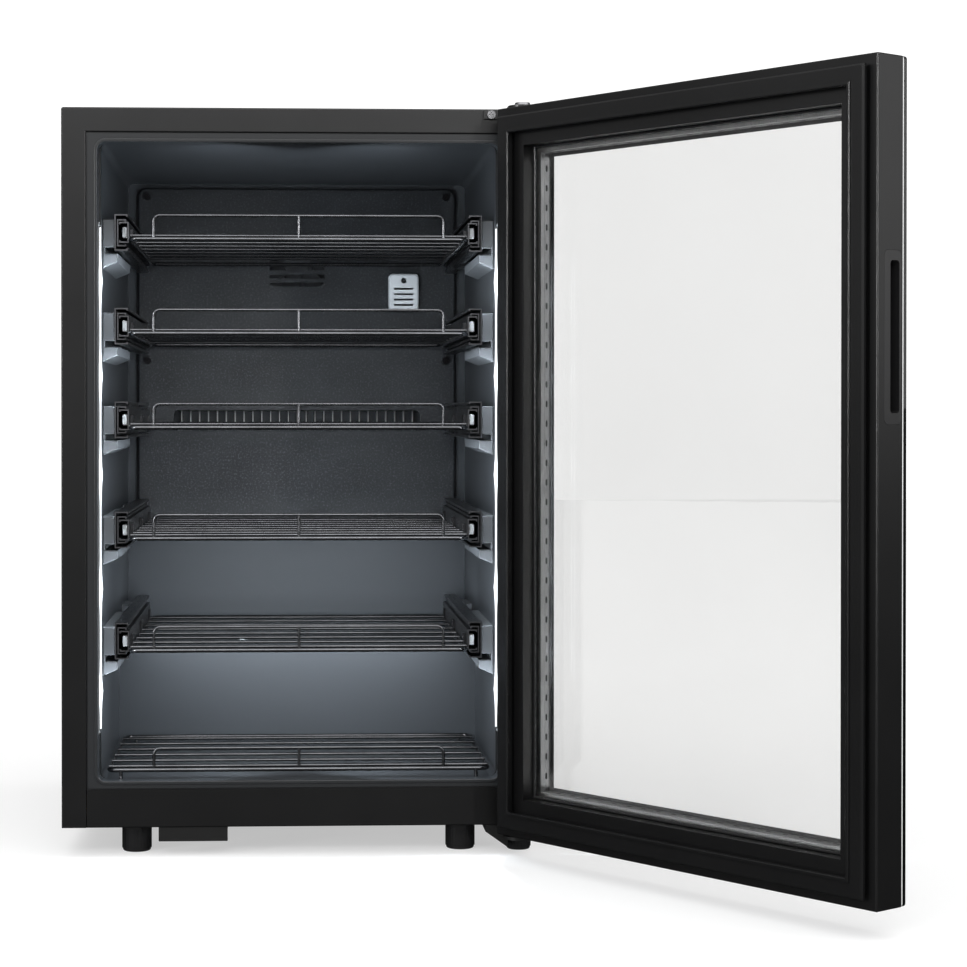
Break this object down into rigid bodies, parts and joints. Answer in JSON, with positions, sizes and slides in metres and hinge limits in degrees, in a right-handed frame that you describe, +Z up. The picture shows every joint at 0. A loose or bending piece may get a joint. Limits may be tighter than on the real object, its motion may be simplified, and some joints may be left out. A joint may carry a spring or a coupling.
{
  "type": "wine cooler",
  "caption": "Free-standing wine cooler with an open glass door, pull-out wire shelves on telescopic slides, side light strips and levelling feet.",
  "frame": {"origin": "on the floor, under the middle of the cabinet's footprint", "axes": "+Z up, -Y towards the front, +X towards the hinge side"},
  "size_m": [0.7099, 0.8625, 0.7127],
  "materials": {
    "cabinet_paint": "satin black",
    "galvanised": "zinc coated",
    "liner_plastic": "satin black moulded",
    "foam": "rigid foam",
    "cover_plastic": "speckled",
    "screw_black": "blackened",
    "aluminium_coil": "plain",
    "fan_plastic": "moulded",
    "grey_plastic": "moulded",
    "compressor_paint": "gloss black",
    "rubber_black": "matt",
    "condenser_paint": "satin black",
    "copper": "copper",
    "led_light": "frosted, lit",
    "spacer_plastic": "moulded grey",
    "slide_steel": "zinc coated",
    "bracket_steel": "satin black",
    "foot_plastic": "moulded",
    "pin_steel": "polished",
    "shelf_wire": "dark chrome",
    "door_paint": "satin black",
    "door_glass": "clear",
    "spacer_aluminium": "perforated",
    "gasket_rubber": "soft black",
    "bead_plastic": "black",
    "handle_plastic": "satin black",
    "bush_plastic": "acetal"
  },
  "bodies": {
    "cabinet": {"outer_wrap": "cabinet_paint", "rear_panel": "galvanised", "rear_cover": "cabinet_paint", "base_pan": "cabinet_paint", "compressor_deck": "galvanised", "inner_liner": "liner_plastic", "foam_insulation": "foam", "evaporator_cover": "cover_plastic", "cover_screws": "screw_black", "evaporator_coil": "aluminium_coil", "fan_housing": "fan_plastic", "sensor_cap": "grey_plastic", "drip_tray": "fan_plastic", "drain_tube": "grey_plastic", "compressor": "compressor_paint", "compressor_mounts": "rubber_black", "terminal_cover": "fan_plastic", "condenser_coil": "condenser_paint", "filter_dryer": "copper", "refrigerant_tubes": "copper", "cord_inlet": "fan_plastic", "control_box": "fan_plastic", "led_housings": "grey_plastic", "led_lenses": "led_light", "slide_spacers": "spacer_plastic", "slide_outer_rails": "slide_steel", "top_hinge_bracket": "bracket_steel", "hinge_screws": "pin_steel", "bottom_hinge_bracket": "bracket_steel", "bottom_left_bracket": "bracket_steel", "rear_feet": "foot_plastic", "hinge_pins": "pin_steel", "base_rack": "shelf_wire"},
    "door": {"door_frame": "door_paint", "door_front_glass": "door_glass", "door_inner_glass": "door_glass", "door_glass_spacer": "spacer_aluminium", "door_gasket": "gasket_rubber", "door_trim_bead": "bead_plastic", "door_handle": "handle_plastic", "door_hinge_bushes": "bush_plastic"},
    "fan_rotor": {"fan_impeller": "fan_plastic"},
    "foot_left_body": {"foot_left": "foot_plastic"},
    "foot_right_body": {"foot_right": "foot_plastic"},
    "foot_hinge_body": {"foot_hinge": "foot_plastic"},
    "shelf_1_body": {"shelf_1": "shelf_wire", "slide_inner_rails_1": "slide_steel"},
    "slide_mid_1_body": {"slide_mid_rails_1": "slide_steel"},
    "shelf_2_body": {"shelf_2": "shelf_wire", "slide_inner_rails_2": "slide_steel"},
    "slide_mid_2_body": {"slide_mid_rails_2": "slide_steel"},
    "shelf_3_body": {"shelf_3": "shelf_wire", "slide_inner_rails_3": "slide_steel"},
    "slide_mid_3_body": {"slide_mid_rails_3": "slide_steel"},
    "shelf_4_body": {"shelf_4": "shelf_wire", "slide_inner_rails_4": "slide_steel"},
    "slide_mid_4_body": {"slide_mid_rails_4": "slide_steel"},
    "shelf_5_body": {"shelf_5": "shelf_wire", "slide_inner_rails_5": "slide_steel"},
    "slide_mid_5_body": {"slide_mid_rails_5": "slide_steel"}
  },
  "joints": [
    {"name": "door_hinge", "type": "hinge", "parent": "cabinet", "child": "door", "pos_m": [0.21, -0.2639, 0.35], "axis": [0, 0, 1], "range_deg": [-126.9, 0]},
    {"name": "fan_spin", "type": "hinge", "parent": "cabinet", "child": "fan_rotor", "pos_m": [0, 0.185, 0.592], "axis": [0, 1, 0], "continuous": true},
    {"name": "foot_left_turn", "type": "hinge", "parent": "cabinet", "child": "foot_left_body", "pos_m": [-0.156, -0.2, 0.01], "axis": [0, 0, 1], "continuous": true},
    {"name": "foot_right_turn", "type": "hinge", "parent": "cabinet", "child": "foot_right_body", "pos_m": [0.156, -0.2, 0.01], "axis": [0, 0, 1], "continuous": true},
    {"name": "foot_hinge_turn", "type": "hinge", "parent": "cabinet", "child": "foot_hinge_body", "pos_m": [0.212, -0.207, 0.01], "axis": [0, 0, 1], "continuous": true},
    {"name": "shelf_1_slide", "type": "slide", "parent": "cabinet", "child": "shelf_1_body", "axis": [0, -1, 0], "range_m": [0, 0.28]},
    {"name": "slide_mid_1_travel", "type": "slide", "parent": "cabinet", "child": "slide_mid_1_body", "axis": [0, -1, 0], "range_m": [0, 0.14]},
    {"name": "shelf_2_slide", "type": "slide", "parent": "cabinet", "child": "shelf_2_body", "axis": [0, -1, 0], "range_m": [0, 0.28]},
    {"name": "slide_mid_2_travel", "type": "slide", "parent": "cabinet", "child": "slide_mid_2_body", "axis": [0, -1, 0], "range_m": [0, 0.14]},
    {"name": "shelf_3_slide", "type": "slide", "parent": "cabinet", "child": "shelf_3_body", "axis": [0, -1, 0], "range_m": [0, 0.28]},
    {"name": "slide_mid_3_travel", "type": "slide", "parent": "cabinet", "child": "slide_mid_3_body", "axis": [0, -1, 0], "range_m": [0, 0.14]},
    {"name": "shelf_4_slide", "type": "slide", "parent": "cabinet", "child": "shelf_4_body", "axis": [0, -1, 0], "range_m": [0, 0.28]},
    {"name": "slide_mid_4_travel", "type": "slide", "parent": "cabinet", "child": "slide_mid_4_body", "axis": [0, -1, 0], "range_m": [0, 0.14]},
    {"name": "shelf_5_slide", "type": "slide", "parent": "cabinet", "child": "shelf_5_body", "axis": [0, -1, 0], "range_m": [0, 0.28]},
    {"name": "slide_mid_5_travel", "type": "slide", "parent": "cabinet", "child": "slide_mid_5_body", "axis": [0, -1, 0], "range_m": [0, 0.14]}
  ],
  "couplings": [
    {"joint": "slide_mid_1_travel", "follows": "shelf_1_slide", "ratio": 0.5},
    {"joint": "slide_mid_2_travel", "follows": "shelf_2_slide", "ratio": 0.5},
    {"joint": "slide_mid_3_travel", "follows": "shelf_3_slide", "ratio": 0.5},
    {"joint": "slide_mid_4_travel", "follows": "shelf_4_slide", "ratio": 0.5},
    {"joint": "slide_mid_5_travel", "follows": "shelf_5_slide", "ratio": 0.5}
  ]
}
